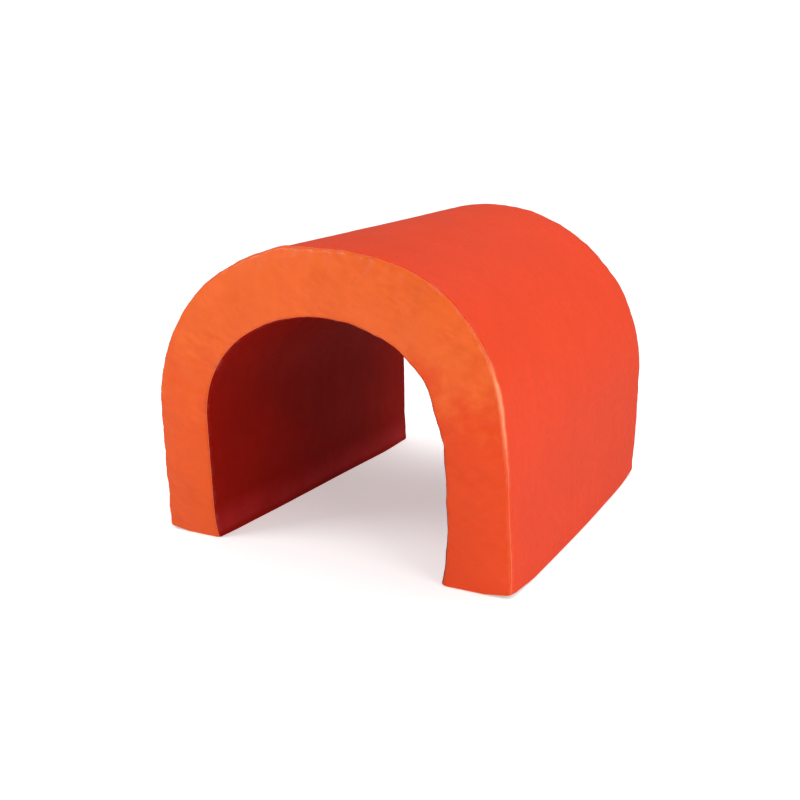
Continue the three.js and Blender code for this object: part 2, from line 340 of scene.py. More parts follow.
def end_relief(seed):
    def relief(p, first, last, along):
        d = np.minimum(first, last)
        share = np.clip(first / (first + last), 0, 1)
        crowned = CROWNED * np.sin(np.pi * share) ** 0.8 * smooth(0, 0.07, p[..., 2])
        gathers = puckers(p, along, first, seed + 1) + puckers(p, along, last, seed + 2, fine=0.8, wide=0.7)
        broad = swell(p, height=0.0011, size=0.16, seed=seed + 4) * (1 - fade(d, 0.03))
        x, z = p[..., 0], p[..., 2]
        q = np.stack([x + CREASE_SLANT * z, z - CREASE_SLANT * x, np.zeros_like(x)], -1) / SLANT_LENGTH
        q[..., 1] += swell(q, height=CREASE_BEND, size=0.09, seed=seed)
        creases = swell(q, height=0.0004, size=(0.075, 0.016, 1), seed=seed + 3)
        creases += swell(q, height=0.00014, size=(0.032, 0.009, 1), seed=seed + 6)
        return crowned + gathers + broad + creases * (1 - fade(d, 0.012))

    return relief


# ---- The four cover panels ----
def stations():
    """Stations of the grid's rows, from the ring of one foot seam to the other, dense under the feet."""
    under = FOOT_R * (1 - np.cos(np.linspace(FOOT_SEAM, math.pi / 2, FOOT_ROWS)))
    leg = np.concatenate([under, np.arange(FOOT_R + 0.002, SPRING, STATION_STEP)]) / SPRING * LEG_SHARE
    crown = np.linspace(LEG_SHARE, 1 - LEG_SHARE, round(2 * OUTER.arc / STATION_STEP))
    return np.concatenate([leg, crown, (1 - leg)[::-1]])


def spaced(length, fine=0.0025, coarse=0.01, growth=1.25):
    """Places from 0 to length, close together at both ends."""
    steps, step = [0.0], fine
    while steps[-1] + step < length / 2:
        steps.append(steps[-1] + step)
        step = min(coarse, step * growth)
    half = np.array(steps) * length / (2 * steps[-1] + step)
    return np.concatenate([half, (length - half)[::-1]])


T = stations()


def arc(angle):
    """Angles of the columns from a seam, at this angle, to the flat of the panel at 0."""
    return np.linspace(angle, 0, round(angle / ARC_STEP), endpoint=False)


def side_grid(face):
    """Points and normals of the outer wrap or the inner lining before its relief."""
    p, n = face.at(T)
    turn = arc(face.seam)
    front = np.stack([-END + EDGE_R * (1 - np.sin(turn)), EDGE_R * (1 - np.cos(turn)), turn], -1)
    flat = spaced(LENGTH - 2 * EDGE_R) - END + EDGE_R
    middle = np.stack([flat, 0 * flat, 0 * flat], -1)
    y, depth, angle = np.concatenate([front, middle, front[::-1] * (-1, 1, -1)]).T
    points, normals = np.zeros((len(T), len(y), 3)), np.zeros((len(T), len(y), 3))
    for axis, k in ((0, 0), (2, 1)):
        points[..., axis] = p[:, None, k] - n[:, None, k] * depth
        normals[..., axis] = n[:, None, k] * np.cos(angle)
    points[..., 1], normals[..., 1] = y, -np.sin(angle)
    return points, normals


def end_grid(end):
    """Points and normals of an end panel before its relief. end is -1 at the front and 1 at the rear."""
    outer, outer_n = OUTER.at(T)
    inner, inner_n = INNER.at(T)
    outer, inner = outer - EDGE_R * outer_n, inner - EDGE_R * inner_n
    share = spaced(WALL - 2 * EDGE_R, coarse=0.0045) / (WALL - 2 * EDGE_R)
    made = [rounding(outer, outer_n, end, angle) for angle in arc(math.pi / 2 - OUTER.seam)]
    for s in share:
        q = outer * (1 - s) + inner * s
        flat = np.stack([q[:, 0], np.full(len(T), end * END), q[:, 1]], -1)
        made.append((flat, np.tile((0.0, end, 0.0), (len(T), 1))))
    made += [rounding(inner, inner_n, end, angle) for angle in arc(math.pi / 2 - INNER.seam)[::-1]]
    return tuple(np.stack(columns, 1) for columns in zip(*made))


def rounding(centre, n, end, angle):
    """Points and normals of one column round the edge of an end panel, at this angle from its flat."""
    level, away = np.full(len(T), float(end)), math.sin(angle)
    normal = np.stack([n[:, 0] * away, level * math.cos(angle), n[:, 1] * away], -1)
    point = np.stack([centre[:, 0], level * (END - EDGE_R), centre[:, 1]], -1)
    return point + EDGE_R * normal, normal


def under_foot(z):
    """How far a panel has curved in at height z, on its way under the foot."""
    s = np.clip((FOOT_R - z) / FOOT_R, 0, 1)
    return FOOT_R * (1 - np.sqrt(1 - s * s))


def distances(points):
    """How far each grid point is from the first and the last column along its row, and along its column."""
    across = np.linalg.norm(np.diff(points, axis=1), axis=2)
    first = np.pad(np.cumsum(across, 1), ((0, 0), (1, 0)))
    along = np.linalg.norm(np.diff(points, axis=0), axis=2)
    return first, first[:, -1:] - first, np.pad(np.cumsum(along, 0), ((1, 0), (0, 0)))


HIGHLIGHT_STRENGTH, HIGHLIGHT_HALF = 0.62, 0.0048  # how strong the painted highlight strip is, and half its width


def painted_highlight_strip(p, d):
    """Painted highlight: a pale strip along the outer edge at the front of the right leg, brightest near its
    top.
    """
    outer = smooth(FOOT_X, FOOT_X + 0.3 * WALL, np.hypot(p[..., 0], np.maximum(p[..., 2] - SPRING, 0)))
    height = smooth(0.52, 0.44, p[..., 2]) * (0.1 + 0.9 * smooth(0.24, 0.42, p[..., 2]))
    return HIGHLIGHT_STRENGTH * bell(d, 0, HIGHLIGHT_HALF) * outer * height * (p[..., 0] > 0) * (p[..., 1] < 0)


EDGES = {}  # each panel's grid and normals, for what is sewn to it


def cover_panel(name, grid, relief, flip):
    """Gives a grid its relief, its curve under the feet and its turned-in edges, and makes the panel."""
    base, normal = grid
    first, last, along = distances(base)
    near = np.minimum(first, last)
    height = seam_relief(base, near) + relief(base, first, last, along)
    level = unit(normal * (1, 1, 0))
    g = base + normal * height[..., None] - level * under_foot(base[..., 2])[..., None]
    EDGES[name] = (g, normal)
    inward = [unit(g[:, 1] - g[:, 0])[:, None] * SEAM_GAP, unit(g[:, -2] - g[:, -1])[:, None] * SEAM_GAP]
    lead = [g[:, :1] - normal[:, :1] * depth + inward[0] for depth in FLANGE[::-1]]
    tail = [g[:, -1:] - normal[:, -1:] * depth + inward[1] for depth in FLANGE]
    full = np.concatenate(lead + [g] + tail, 1)
    rows, columns = full.shape[:2]
    obj = new_object(name, settle(full), grid_quads(rows, columns, flip))
    pad = ((0, 0), (len(FLANGE), len(FLANGE)))
    store(obj, "from_seam", np.pad(near, pad, mode="edge"))
    # The painted highlight strip along the front right outer edge.
    store(obj, "painted_highlight", np.pad(painted_highlight_strip(base, near), pad, mode="edge"))
    return obj


outer_wrap = cover_panel("cover_outer_wrap", side_grid(OUTER), wrap_relief, flip=False)
inner_lining = cover_panel("cover_inner_lining", side_grid(INNER), lining_relief, flip=True)
front_end = cover_panel("cover_front_end", end_grid(-1), end_relief(41.0), flip=False)
rear_end = cover_panel("cover_rear_end", end_grid(1), end_relief(61.0), flip=True)


# ---- Cloth simulation: spare cloth buckles into small wrinkles between the seams ----
SIM_FRAMES = 16
PIN_REACH = 0.006  # the seams hold the cloth less and less over this distance
PINNED, PINNED_Z = 0.002, 0.012  # and wholly this close to a seam, or this low
CLOTH_QUALITY, CLOTH_MASS = 5, 0.4
STRETCH_STIFF, SHEAR_STIFF, BEND_STIFF = 20, 8, 0.6


def buckle(obj, slack, pressure, hold, cap):
    """Runs a panel as cloth: cut too large by the share slack, held at its seams and lightly elsewhere."""
    near = np.empty(len(obj.data.vertices), np.float32)
    obj.data.attributes["from_seam"].data.foreach_get("value", near)
    start = np.empty(len(near) * 3, np.float32)
    obj.data.vertices.foreach_get("co", start)
    start = start.reshape(-1, 3)
    weight = np.clip(hold + (1 - hold) * np.exp(-near / PIN_REACH), 0, 1)
    weight[(near < PINNED) | (start[:, 2] < PINNED_Z)] = 1
    group = obj.vertex_groups.new(name="held")
    levels = np.round(weight, 2)
    for level in np.unique(levels):
        group.add(np.flatnonzero(levels == level).tolist(), float(level), "REPLACE")
    cloth = obj.modifiers.new("cloth", "CLOTH")
    s = cloth.settings
    s.quality, s.mass = CLOTH_QUALITY, CLOTH_MASS
    s.tension_stiffness = s.compression_stiffness = STRETCH_STIFF
    s.shear_stiffness, s.bending_stiffness = SHEAR_STIFF, BEND_STIFF
    s.vertex_group_mass, s.pin_stiffness = "held", 1
    s.shrink_min = -slack
    s.use_pressure, s.uniform_pressure_force = True, pressure
    s.effector_weights.gravity = 0
    cloth.collision_settings.use_collision = False
    cloth.collision_settings.use_self_collision = False
    cloth.point_cache.frame_start, cloth.point_cache.frame_end = 1, SIM_FRAMES
    scene = bpy.context.scene
    for number in range(1, SIM_FRAMES + 1):
        scene.frame_set(number)
    moved = np.empty(len(near) * 3, np.float32)
    obj.evaluated_get(bpy.context.evaluated_depsgraph_get()).data.vertices.foreach_get("co", moved)
    shift = moved.reshape(-1, 3) - start
    length = np.linalg.norm(shift, axis=1, keepdims=True)
    shift *= np.minimum(1, cap / np.maximum(length, 1e-9))
    obj.modifiers.remove(cloth)
    obj.data.vertices.foreach_set("co", (start + shift).ravel())
    scene.frame_set(1)


for obj in (front_end, rear_end):
    buckle(obj, slack=0.0075, pressure=1.2, hold=0.02, cap=0.004)
for obj in (outer_wrap, inner_lining):
    buckle(obj, slack=0.001, pressure=0.3, hold=0.2, cap=0.0015)


# ---- Seams: two turned-in edges under a row of stitches ----
STITCH = 0.0052  # from one stitch to the next
THREAD, THREAD_SIDES = 0.00035, 6  # radius of the thread
STITCH_ACROSS, STITCH_SLANT = 0.0012, 0.0006  # half of how far a stitch goes over the seam, and along it
STITCH_SHAPE = (  # along a stitch: (way, rise, radius)
    (-1, 0.1, 0.5), (-0.75, 0.95, 1), (0, 1.35, 1.1), (0.75, 0.95, 1), (1, 0.1, 0.5),
)
WELT = (  # half of a seam's section: (out, across)
    (0.0011, 0), (0.0008, 0.0006), (0, 0.0009), (-0.0008, 0.0007), (-0.0012, 0.0003), (-0.005, 0.0003),
)


def frames_along(path, normals, closed):
    """Unit vectors out and across at each point of a path."""
    if closed:
        forward = unit(np.roll(path, -1, 0) - np.roll(path, 1, 0))
    else:
        forward = unit(np.gradient(path, axis=0))
    across = unit(np.cross(forward, normals))
    return unit(np.cross(across, forward)), across


def seam(name, path, normals, closed=False):
    """A bead along a path on the unsettled arch, with its stitches."""
    # The painted highlight strip goes over the seam too.
    painted_highlight = painted_highlight_strip(path, 0)
    path = settle(path)
    out, across = frames_along(path, normals, closed)
    half = np.array(WELT)
    section = np.concatenate([half, half[:0:-1] * (1, -1)])
    rings = path[:, None] + out[:, None] * section[:, :1] + across[:, None] * section[:, 1:]
    parts, highlight_parts = [tube(rings, closed)], [np.repeat(painted_highlight, len(section))]
    step = np.linalg.norm(np.diff(path, axis=0), axis=1)
    place = np.concatenate([[0], np.cumsum(step)])
    for s in np.arange(STITCH, place[-1] - STITCH, STITCH):
        at, o, a = (np.array([np.interp(s, place, v[:, k]) for k in range(3)]) for v in (path, out, across))
        points, quads = stitch(at, unit(o), unit(a), np.cross(a, o))
        parts.append((points, quads))
        highlight_parts.append(np.full(len(points), np.interp(s, place, painted_highlight)))
    obj = new_object(name, *merged(parts))
    store(obj, "painted_highlight", np.concatenate(highlight_parts))
    return obj


def stitch(at, out, across, forward):
    """One thread over the seam, sunk into the cloth at both ends."""
    rings = []
    for way, rise, r in STITCH_SHAPE:
        centre = at + across * way * STITCH_ACROSS + forward * way * STITCH_SLANT + out * rise * THREAD
        ring = [
            centre + (forward * math.cos(v) + out * math.sin(v)) * THREAD * r
            for v in np.linspace(0, 2 * math.pi, THREAD_SIDES, endpoint=False)
        ]
        rings.append(ring)
    return tube(np.array(rings))


def edge(name, column):
    g, normals = EDGES[name]
    return g[:, column], normals[:, column]


def foot_ring(row):
    """The ring of panel edges round a foot, and its normals. Row 0 is the left foot and -1 the right one."""
    lists = []
    for k in (0, 1):
        wrap, lining = EDGES["cover_outer_wrap"][k][row], EDGES["cover_inner_lining"][k][row]
        front, rear = EDGES["cover_front_end"][k][row], EDGES["cover_rear_end"][k][row]
        lists.append(np.concatenate([wrap[:-1], rear[:-1], lining[::-1][:-1], front[::-1][:-1]]))
    points, normals = lists
    return points, unit(unit(normals) + (0, 0, -1))


seams = {}
for end, column in (("front", 0), ("rear", -1)):
    seams[f"{end}_outer_seam"] = seam(f"stitched_{end}_outer_seam", *edge("cover_outer_wrap", column))
    seams[f"{end}_inner_seam"] = seam(f"stitched_{end}_inner_seam", *edge("cover_inner_lining", column))
for side, row in (("left", 0), ("right", -1)):
    seams[f"{side}_foot_seam"] = seam(f"stitched_{side}_foot_seam", *foot_ring(row), closed=True)


# ---- Base sheets: non-slip sheets under the feet, turned up along the zip ----
FOLD_R, FOLD_TOP = 0.003, 0.0076  # the turned-up edge: its rounding and its height
FOLD_GAP = 0.0005  # from the zip's channel to the turned-up edge
FOLD_STEPS = 4
BASE_CURL = 0.7 * FOOT_R  # how far in from its seam a sheet curls down from it
BASE_CLOTH = 0.0011


def base_sheet(name, row, half):
    """Half of the sheet under a foot, from its outer or inner edge to the zip."""
    g, _ = EDGES["cover_outer_wrap" if half == "outer" else "cover_inner_lining"]
    edge_row = g[row]
    middle = FOOT_X if row else -FOOT_X
    sign = np.sign(edge_row[0, 0] - middle)
    fold_x = middle + sign * (CHANNEL_HALF + FOLD_GAP)
    ends = []
    for panel in ("cover_front_end", "cover_rear_end"):
        line = EDGES[panel][0][row]
        ends.append(line[np.argsort(line[:, 0])])
    w = spaced(1.0, fine=0.0022, coarse=0.012, growth=1.3)
    share = (edge_row[:, 1] - edge_row[0, 1]) / (edge_row[-1, 1] - edge_row[0, 1])
    edge_x, edge_z = (np.interp(w, share, edge_row[:, k]) for k in (0, 2))
    width = abs(edge_row[0, 0] - fold_x)
    v = spaced(1.0, fine=0.0015 / width, coarse=0.006 / width, growth=1.35)
    x = fold_x + (edge_x[:, None] - fold_x) * v
    y_front, y_rear = (np.interp(x, line[:, 0], line[:, 1]) for line in ends)
    y = y_front + (y_rear - y_front) * w[:, None]
    d = np.minimum(np.abs(edge_x[:, None] - x), np.minimum(y - y_front, y_rear - y))
    ring = edge_z[:, None]
    s = np.clip(1 - d / BASE_CURL, 0, 1)
    z = ring * (1 - np.sqrt(1 - s * s * 0.999))
    flat = np.stack([x, y, z], -1)
    turns = np.linspace(0, math.pi / 2, FOLD_STEPS + 1)[1:]
    fold = [(FOLD_R * math.sin(a), FOLD_R * (1 - math.cos(a))) for a in turns] + [(FOLD_R, FOLD_TOP)]
    turned = []
    for into, rise in fold[::-1]:
        turned.append(np.stack([x[:, 0] - sign * into, y[:, 0], z[:, 0] * 0 + rise], -1)[:, None])
    full = np.concatenate(turned + [flat], 1)
    obj = new_object(name, settle(full), grid_quads(*full.shape[:2], flip=sign > 0))
    return thicken(obj, BASE_CLOTH)


base_sheets = {}
for side, row in (("left", 0), ("right", -1)):
    for half in ("outer", "inner"):
        name = f"{side}_base_sheet_{half}"
        base_sheets[name] = base_sheet(f"nonslip_{name}", row, half)


# ---- Foam blocks ----
FOAM_IN = 0.007  # clear of the cover all round
FOAM_EDGE = 0.012  # rounding of the long edges
FOAM_STEP = 0.016
FOAM_FOOT = 0.006  # height of the underside of a leg
GROOVE_HALF, GROOVE_TOP = 0.014, 0.0135  # the groove for the zip
GROOVE_WALL = 0.0006  # grid lines this far on both sides of the groove's walls
GLUE = 0.0003  # half of the gap where two blocks are glued


def rounded(p, low, high, r):
    core = np.clip(p, low + r, high - r)
    return core + unit(p - core) * np.minimum(np.abs(p - core).max(-1, keepdims=True), r)


def foam_lines(low, high):
    """Places of the grid's lines from low to high, close together at both ends for the rounding."""
    even = np.arange(low + 0.009, high - 0.006, FOAM_STEP)
    return np.concatenate([[low, low + 0.0015, low + 0.004], even, [high - 0.004, high - 0.0015, high]])


def foam_block(name, side, part):
    """A leg or half a crown, drawn as (depth under the outer face, y, way up the arch) and then bent."""
    leg = part == "leg"
    mean_arc = (OUTER.arc + INNER.arc) / 2
    low = np.array([FOAM_IN, -END + FOAM_IN, FOAM_FOOT if leg else SPRING + GLUE])
    high = np.array([WALL - FOAM_IN, END - FOAM_IN, SPRING - GLUE if leg else SPRING + mean_arc - GLUE])
    lines = [foam_lines(a, b) for a, b in zip(low, high)]
    if leg:
        walls = [WALL / 2 + s * GROOVE_HALF + e for s in (-1, 1) for e in (-GROOVE_WALL, 0, GROOVE_WALL)]
        lines[0] = np.unique(np.concatenate([lines[0], walls]))
        above_groove = np.arange(GROOVE_TOP + 0.002, high[2] - 0.006, FOAM_STEP)
        lines[2] = np.concatenate([low[2:], above_groove, high[2:]])
    p, quads = block_surface(*lines)
    q = p.copy()
    q[:, :2] = rounded(p[:, :2], low[:2], high[:2], FOAM_EDGE)
    if leg:
        groove = np.abs(p[:, 0] - WALL / 2) < GROOVE_HALF - 0.0001
        q[:, 2] = np.where(groove & (p[:, 2] < low[2] + 1e-6), GROOVE_TOP, q[:, 2])
    on_crown = LEG_SHARE + (q[:, 2] - SPRING) / mean_arc * (0.5 - LEG_SHARE)
    t = np.where(q[:, 2] < SPRING, q[:, 2] / SPRING * LEG_SHARE, on_crown)
    right = side == "right"
    outer, _ = OUTER.at(1 - t)
    inner, _ = INNER.at(1 - t)
    share = (q[:, 0] / WALL)[:, None]
    xz = outer * (1 - share) + inner * share
    points = np.stack([xz[:, 0] if right else -xz[:, 0], q[:, 1], xz[:, 1]], -1)
    points += swell(points, height=0.0004, size=0.03, seed=71)[:, None] * unit(points * (1, 0, 1))
    if not right:
        quads = [face[::-1] for face in quads]
    return new_object(name, settle(points), [face[::-1] for face in quads])


foam = {}
for side in ("left", "right"):
    for part in ("leg", "crown"):
        foam[f"{side}_foam_{part}"] = foam_block(f"cut_{side}_foam_{part}", side, part)


# ---- Zips: woven tapes and wound coils ----
COIL_PITCH, COIL_WIRE = 0.002, 0.00036  # from turn to turn, and the radius of the wire
COIL_STEPS, COIL_SIDES = 8, 4
COIL_LAP = 0.00025  # how far the turns reach past the box towards the other coil


def coil(name, node):
    """A nylon coil wound inside the node's box."""
    low, high = (np.array(v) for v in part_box(node))
    centre, half = (low + high) / 2, (high - low) / 2
    toward = -np.sign(centre[0] - math.copysign(FOOT_X, low[0])) * COIL_LAP
    turns = int((high[1] - low[1] - 4 * COIL_WIRE) / COIL_PITCH)
    angle = np.arange(turns * COIL_STEPS + 1) * 2 * math.pi / COIL_STEPS
    square = 1 / np.maximum(np.abs(np.cos(angle)), np.abs(np.sin(angle))) ** 0.4
    x = centre[0] + toward / 2 + (half[0] + COIL_LAP / 2 - COIL_WIRE) * np.cos(angle)
    y = low[1] + 2 * COIL_WIRE + angle / (2 * math.pi) * COIL_PITCH
    z = centre[2] + (half[2] - COIL_WIRE) * np.sin(angle) * np.minimum(square, 1)
    path = np.stack([x, y, z], -1)
    forward = unit(np.gradient(path, axis=0))
    side_way = unit(np.cross(forward, (0, 1, 0)))
    up = np.cross(forward, side_way)
    around = np.linspace(0, 2 * math.pi, COIL_SIDES, endpoint=False)[:, None]
    ring = side_way[:, None] * np.cos(around) + up[:, None] * np.sin(around)
    return new_object(name, *tube(path[:, None] + COIL_WIRE * ring))


TAPE_TAIL = 0.019  # the tapes run on behind the zip, into the seam at the rear
TAPE_COLUMNS, TAPE_STEP = 9, 0.004
TAPE_THIN = 0.62  # share of the node's thickness that is tape
TAPE_RIB, TAPE_RIBS = 0.2, 2  # the ribs along the tape, as a share of its thickness, and how many
TAPE_WAVE = 0.00008


def tape(name, node):
    """A woven tape: thin, with ribs and thicker edges, and a slight wave along it."""
    low, high = (np.array(v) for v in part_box(node))
    high[1] += TAPE_TAIL
    middle = math.copysign(FOOT_X, low[0])
    us = np.linspace(low[0], high[0], TAPE_COLUMNS)
    vs = np.arange(low[1], high[1], TAPE_STEP)
    p, quads = block_surface(us, np.append(vs, high[1]), np.array([low[2], (low[2] + high[2]) / 2, high[2]]))
    across = np.abs(p[:, 0] - middle)
    way = (across - across.min()) / (across.max() - across.min())
    centre = (low[2] + high[2]) / 2
    p[:, 2] = centre + (p[:, 2] - centre) * (TAPE_THIN + TAPE_RIB * np.cos(way * TAPE_RIBS * 2 * math.pi))
    p[:, 2] += swell(p, height=TAPE_WAVE, size=(0.01, 0.012, 1), seed=81)
    return new_object(name, p, quads)


zips = {}
for side in ("left", "right"):
    for half in ("outer", "inner"):
        zips[f"{side}_zip_coil_{half}"] = coil(f"wound_{side}_zip_coil_{half}", f"{side}_zip_coil_{half}")
        zips[f"{side}_zip_tape_{half}"] = tape(f"woven_{side}_zip_tape_{half}", f"{side}_zip_tape_{half}")


# ---- Materials ----
def srgb(*levels):
    shares = [level / 255 for level in levels]
    return tuple(c / 12.92 if c <= 0.04045 else ((c + 0.055) / 1.055) ** 2.4 for c in shares)


class Shader:
    """A Principled material with short names for the nodes that every finish here needs."""

    def __init__(self, name, specular=0.5):
        self.material = bpy.data.materials.new(name)
        self.material.use_nodes = True
        self.tree = self.material.node_tree
        self.shader = self.tree.nodes["Principled BSDF"]
        self.shader.inputs["Specular IOR Level"].default_value = specular
        self.where = self.node("ShaderNodeTexCoord").outputs["Object"]

    def node(self, kind, **values):
        made = self.tree.nodes.new(kind)
        for key, value in values.items():
            made.inputs[key.replace("_", " ")].default_value = value
        return made

    def join(self, a, b):
        self.tree.links.new(a, b)

    def set(self, name, value):
        if hasattr(value, "is_output"):
            self.join(value, self.shader.inputs[name])
        else:
            self.shader.inputs[name].default_value = value

    def noise(self, scale, detail=3, rough=0.55, stretch=None):
        made = self.node("ShaderNodeTexNoise", Scale=scale, Detail=detail, Roughness=rough)
        self.join(self.placed(stretch), made.inputs["Vector"])
        return made.outputs["Fac"]

    def cells(self, scale, randomness=1.0):
        made = self.node("ShaderNodeTexVoronoi", Scale=scale, Randomness=randomness)
        self.join(self.where, made.inputs["Vector"])
        return made.outputs["Distance"]

    def wave(self, scale, distortion, direction):
        made = self.node("ShaderNodeTexWave", Scale=scale, Distortion=distortion)
        made.bands_direction = direction
        self.join(self.where, made.inputs["Vector"])
        return made.outputs["Fac"]

    def placed(self, stretch):
        if stretch is None:
            return self.where
        made = self.node("ShaderNodeMapping", Scale=stretch)
        self.join(self.where, made.inputs["Vector"])
        return made.outputs["Vector"]

    def attribute(self, name):
        made = self.node("ShaderNodeAttribute")
        made.attribute_name = name
        return made.outputs["Fac"]

    def ramp(self, value, low, high, to_low, to_high):
        made = self.node("ShaderNodeMapRange", From_Min=low, From_Max=high, To_Min=to_low, To_Max=to_high)
        self.join(value, made.inputs["Value"])
        return made.outputs["Result"]

    def times(self, a, b):
        made = self.node("ShaderNodeMath")
        made.operation = "MULTIPLY"
        self.join(a, made.inputs[0])
        self.join(b, made.inputs[1])
        return made.outputs[0]

    def mix(self, factor, a, b):
        made = self.node("ShaderNodeMix")
        made.data_type = "RGBA"
        for socket, value in ((made.inputs[6], a), (made.inputs[7], b)):
            if isinstance(value, tuple):
                socket.default_value = (*value, 1)
            else:
                self.join(value, socket)
        self.join(factor, made.inputs["Factor"])
        return made.outputs[2]

    def painted_shade_mask(self):
        """Mask of painted shade: 1 near the floor, 0 from the shoulders up, with a blotchy border. It is
        weaker on the left leg, which is lit more.
        """
        place = self.node("ShaderNodeSeparateXYZ")
        self.join(self.where, place.inputs[0])
        blurred = self.node("ShaderNodeMath")
        blurred.operation = "MULTIPLY_ADD"
        blurred.inputs[1].default_value = 0.5
        self.join(self.noise(14, 4, 0.6), blurred.inputs[0])
        self.join(place.outputs["Z"], blurred.inputs[2])
        height = self.ramp(blurred.outputs[0], 0.58, 0.74, 1, 0)
        return self.times(height, self.ramp(place.outputs["X"], -0.1, 0.25, 0.45, 1))

    def streaks(self, length, width, turn):
        """Noise drawn out across the end panels, turned from level towards the floor on the right."""
        made = self.node("ShaderNodeMapping", Rotation=(0, turn, 0), Scale=(length, length, width))
        made.vector_type = "TEXTURE"
        self.join(self.where, made.inputs["Vector"])
        drawn = self.node("ShaderNodeTexNoise", Scale=1, Detail=3, Roughness=0.6)
        self.join(made.outputs["Vector"], drawn.inputs["Vector"])
        return drawn.outputs["Fac"]

    def bump(self, height, strength, distance, under=None):
        made = self.node("ShaderNodeBump", Strength=strength, Distance=distance)
        self.join(height, made.inputs["Height"])
        if under is not None:
            self.join(under, made.inputs["Normal"])
        return made.outputs["Normal"]


PAINTED_HIGHLIGHT_TINT = srgb(252, 182, 134)  # pale tint of the painted highlight on the front right edge


def vinyl(name, colour, rough=(0.4, 0.54), specular=0.25, spread=0.05, painted_shade_tone=None, painted_bounce_tone=None):
    """Coated vinyl: pebbled grain over a faint weave, soft tone changes, edges made glossier by handling
    and a painted highlight on the front right edge.

    The tone given for the lower legs of the end panels is painted shade, darker towards the floor and
    on the right leg, and the tone given for the band along the floor is painted light from the floor.
    """
    s = Shader(name, specular)
    light = tuple(min(1, c * (1 + spread)) for c in colour)
    dark = tuple(c * (1 - 1.6 * spread) for c in colour)
    tone = s.mix(s.ramp(s.noise(7, 4, 0.6), 0.34, 0.68, 0, 1), dark, light)
    tone = s.mix(s.ramp(s.noise(140, 2, 0.6), 0.42, 0.6, 0, 0.4), tone, colour)
    tone = s.mix(s.ramp(s.noise(45, 3, 0.6, (1, 1, 0.07)), 0.4, 0.64, 0, 0.35), tone, dark)
    slack = s.bump(s.noise(48, 3, 0.6), 0.3, 0.0012)
    if painted_shade_tone:
        # Painted shade: the lower legs darken towards the floor, more on the right leg.
        tone = s.mix(s.painted_shade_mask(), tone, painted_shade_tone)
        streaks = s.streaks(0.036, 0.011, math.radians(24))
        # Painted shade in the creases: darker where the streaks' bump dips.
        crease_shade = s.times(s.ramp(streaks, 0.36, 0.62, 0.26, 0), s.ramp(s.noise(9, 2), 0.38, 0.62, 0.2, 1))
        tone = s.mix(crease_shade, tone, tuple(0.75 * c for c in painted_shade_tone))
        slack = s.bump(streaks, 0.3, 0.0012, slack)
    if painted_bounce_tone:
        place = s.node("ShaderNodeSeparateXYZ")
        s.join(s.where, place.inputs[0])
        z = place.outputs["Z"]
        # Painted light: a paler band just over the floor, where light from the floor falls.
        bounce_band = s.times(s.ramp(z, 0.025, 0.085, 1, 0), s.ramp(z, 0.006, 0.02, 0, 1))
        tone = s.mix(s.times(bounce_band, s.ramp(s.noise(12, 3), 0.3, 0.65, 0.15, 0.5)), tone, painted_bounce_tone)
    from_seam = s.attribute("from_seam")
    scuffed = s.times(s.ramp(from_seam, 0.003, 0.01, 1, 0), s.ramp(s.noise(40, 4, 0.65), 0.5, 0.75, 0, 0.14))
    tone = s.mix(scuffed, tone, tuple(0.6 * c + 0.3 for c in colour))
    # Painted highlight: the pale strip along the front right outer edge.
    painted_highlight = s.times(s.attribute("painted_highlight"), s.ramp(s.noise(30, 4, 0.6), 0.25, 0.6, 0.45, 1))
    tone = s.mix(painted_highlight, tone, PAINTED_HIGHLIGHT_TINT)
    # Painted shade in the seam groove: darker right at the seams.
    tone = s.mix(s.ramp(from_seam, 0.0, 0.0018, 0.1, 0.0), tone, tuple(c * 0.4 for c in dark))
    s.set("Base Color", tone)
    handled = s.ramp(from_seam, 0.004, 0.016, 0.55, 1)
    s.set("Roughness", s.times(handled, s.ramp(s.noise(24, 3), 0.3, 0.7, *rough)))
    weave = s.bump(s.wave(260, 0.4, "DIAGONAL"), 0.06, 0.0003, slack)
    s.set("Normal", s.bump(s.cells(820), 0.2, 0.00035, weave))
    return s.material


def cut_foam():
    s = Shader("cut_foam", 0.1)
    tone = s.mix(s.noise(30, 4), srgb(222, 208, 160), srgb(238, 228, 188))
    # Painted shade: darker in the pits of the open cells.
    s.set("Base Color", s.mix(s.ramp(s.cells(900), 0.1, 0.45, 0.5, 0), tone, srgb(176, 158, 110)))
    s.set("Roughness", s.ramp(s.noise(200, 2), 0.3, 0.7, 0.88, 0.98))
    s.set("Normal", s.bump(s.cells(900), 0.6, 0.0006))
    return s.material


def nonslip():
    """Rubbery sheet with rows of small raised dots."""
    s = Shader("nonslip_sheet", 0.4)
    dots = s.ramp(s.cells(240, 0.0), 0.2, 0.34, 1, 0)
    tone = s.mix(s.noise(40, 4), srgb(34, 34, 36), srgb(48, 47, 48))
    s.set("Base Color", s.mix(s.ramp(s.noise(300, 2), 0.5, 0.75, 0, 0.4), tone, srgb(78, 75, 72)))
    s.set("Roughness", s.ramp(dots, 0, 1, 0.9, 0.6))
    s.set("Normal", s.bump(dots, 0.8, 0.0005))
    return s.material


def stitched_edge():
    s = Shader("stitched_edge", 0.25)
    tone = s.mix(s.noise(400, 3), srgb(234, 102, 60), srgb(244, 126, 84))
    # Painted highlight where the strip crosses the seam.
    s.set("Base Color", s.mix(s.attribute("painted_highlight"), tone, PAINTED_HIGHLIGHT_TINT))
    s.set("Roughness", s.ramp(s.noise(300, 2), 0.3, 0.7, 0.55, 0.75))
    s.set("Normal", s.bump(s.wave(1400, 0.5, "DIAGONAL"), 0.4, 0.0002))
    return s.material


